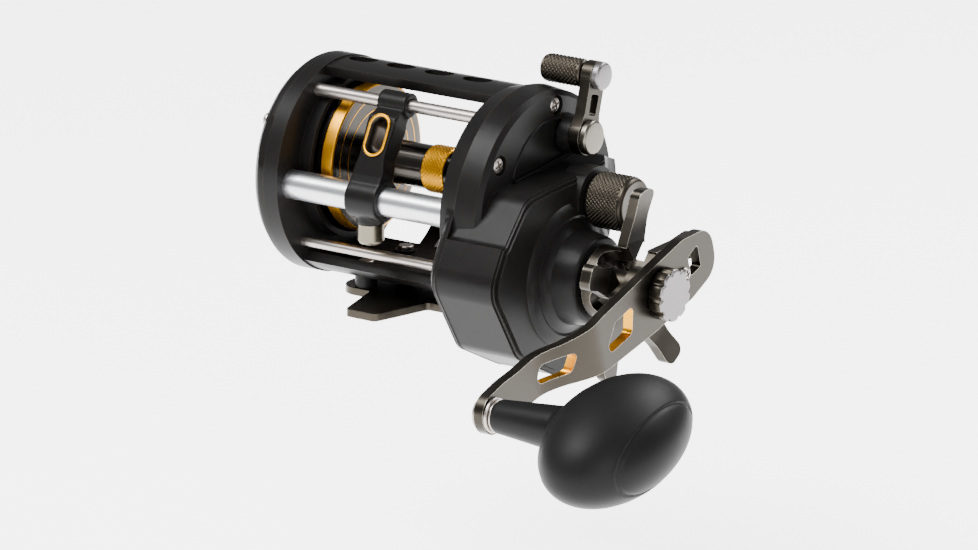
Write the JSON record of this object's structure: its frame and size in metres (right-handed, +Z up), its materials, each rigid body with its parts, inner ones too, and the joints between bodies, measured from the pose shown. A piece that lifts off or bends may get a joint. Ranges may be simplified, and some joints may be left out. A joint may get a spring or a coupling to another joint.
{
  "type": "trolling reel",
  "caption": "Left-hand level-wind trolling reel with star drag, free-spool lever, paddle-grip crank handle and clamp-on reel foot",
  "frame": {"origin": "centre of the reel foot's seat face, where it rests on the rod", "axes": "+X along the spool axis towards the handle, -Y forward where the line leaves, +Y towards the angler, +Z up from the rod"},
  "size_m": [0.1896, 0.142, 0.0962],
  "materials": {
    "satin_black": "satin black anodised coat",
    "gunmetal": "gunmetal anodised, bright cut edges",
    "gold": "gold anodised",
    "polished_steel": "polished stainless",
    "satin_aluminium": "brushed satin",
    "tool_steel": "ground steel",
    "brass": "machined brass",
    "carbon_fibre": "woven carbon, matt",
    "nylon": "moulded nylon",
    "black_rubber": "smooth matt rubber"
  },
  "bodies": {
    "reel_body": {"frame": "satin_black", "tail_plate": "satin_black", "tail_plate_screws": "polished_steel", "gear_housing": "satin_black", "housing_screws": "polished_steel", "bridge_plate": "satin_aluminium", "bridge_screws": "polished_steel", "reel_foot": "gunmetal", "foot_screws": "polished_steel", "upper_guide_rod": "polished_steel", "lower_cross_rod": "polished_steel", "worm_shield": "satin_aluminium", "worm_bushings": "nylon", "spool_bearings": "polished_steel", "clicker_spring": "tool_steel", "tail_bearing_cap": "gunmetal", "yoke_springs": "tool_steel", "dog_spring": "tool_steel", "roller_clutch": "tool_steel", "tension_shims": "brass"},
    "spool_assembly": {"spool": "gunmetal", "arbor_band": "gold", "spool_shaft": "polished_steel", "clicker_ratchet": "brass"},
    "clutch": {"clutch_yoke": "tool_steel"},
    "pinion": {"pinion_gear": "tool_steel"},
    "handle": {"handle_blade": "gunmetal", "handle_nut": "satin_aluminium", "nut_lock_screw": "polished_steel", "knob_post": "polished_steel", "knob_washers": "polished_steel", "gear_sleeve": "tool_steel", "main_gear": "brass", "carbon_drag_washers": "carbon_fibre", "steel_drag_washers": "tool_steel", "anti_reverse_ratchet": "tool_steel", "levelwind_drive_gear": "nylon", "drag_spring_washers": "tool_steel"},
    "star": {"star_drag": "gunmetal"},
    "knob": {"knob_grip": "black_rubber", "knob_neck": "black_rubber"},
    "worm": {"worm_shaft": "brass", "worm_gear": "nylon"},
    "carriage": {"line_guide_carriage": "satin_black", "line_guide_insert": "gold", "pawl_cap": "brass"},
    "pawl": {"carriage_pawl": "brass"},
    "lever": {"freespool_lever": "gunmetal", "lever_knob": "gunmetal", "lever_end_cap": "polished_steel", "lever_pivot_screw": "gunmetal", "clutch_cam": "tool_steel"},
    "cast_control": {"tension_cap": "gunmetal"},
    "clicker": {"clicker_button": "gunmetal", "clicker_pawl": "tool_steel"},
    "dog": {"anti_reverse_dog": "tool_steel"}
  },
  "joints": [
    {"name": "handle_turn", "type": "hinge", "parent": "reel_body", "child": "handle", "pos_m": [0.07, -0.0085, 0.01772], "axis": [1, 0, 0], "continuous": true},
    {"name": "spool_turn", "type": "hinge", "parent": "reel_body", "child": "spool_assembly", "pos_m": [0, 0.0035, 0.0385], "axis": [1, 0, 0], "continuous": true},
    {"name": "clutch_slide", "type": "slide", "parent": "reel_body", "child": "clutch", "axis": [1, 0, 0], "range_m": [0, 0.0015]},
    {"name": "pinion_turn", "type": "hinge", "parent": "clutch", "child": "pinion", "pos_m": [0.048, 0.0035, 0.0385], "axis": [1, 0, 0], "continuous": true},
    {"name": "worm_turn", "type": "hinge", "parent": "reel_body", "child": "worm", "pos_m": [0, -0.026, 0.03522], "axis": [1, 0, 0], "continuous": true},
    {"name": "carriage_slide", "type": "slide", "parent": "reel_body", "child": "carriage", "axis": [1, 0, 0], "range_m": [-0.019, 0.025]},
    {"name": "pawl_swivel", "type": "hinge", "parent": "carriage", "child": "pawl", "pos_m": [-0.001, -0.026, 0.02922], "axis": [0, 0, 1], "range_deg": [-22, 22]},
    {"name": "star_turn", "type": "hinge", "parent": "handle", "child": "star", "pos_m": [0.075, -0.0085, 0.01772], "axis": [1, 0, 0], "range_deg": [-180, 180]},
    {"name": "knob_spin", "type": "hinge", "parent": "handle", "child": "knob", "pos_m": [0.12, -0.08067, -0.00271], "axis": [1, 0, 0], "continuous": true},
    {"name": "lever_turn", "type": "hinge", "parent": "reel_body", "child": "lever", "pos_m": [0.05, 0.0083, 0.0551], "axis": [1, 0, 0], "range_deg": [-28, 0]},
    {"name": "tension_turn", "type": "hinge", "parent": "reel_body", "child": "cast_control", "pos_m": [0.068, 0.0035, 0.0385], "axis": [1, 0, 0], "range_deg": [-180, 180]},
    {"name": "clicker_slide", "type": "slide", "parent": "reel_body", "child": "clicker", "axis": [0, -0.6168, 0.7871], "range_m": [0, 0.004]},
    {"name": "dog_swing", "type": "hinge", "parent": "reel_body", "child": "dog", "pos_m": [0.041, 0.00926, 0.00943], "axis": [1, 0, 0], "range_deg": [-10, 0], "stiffness_Nm_per_rad": 0.002, "springref_deg": 2.86}
  ],
  "couplings": [
    {"joint": "spool_turn", "follows": "handle_turn", "ratio": -5.4},
    {"joint": "pinion_turn", "follows": "handle_turn", "ratio": -5.4},
    {"joint": "worm_turn", "follows": "handle_turn", "ratio": -2.3},
    {"joint": "clutch_slide", "follows": "lever_turn", "m_per_rad": -0.003}
  ]
}
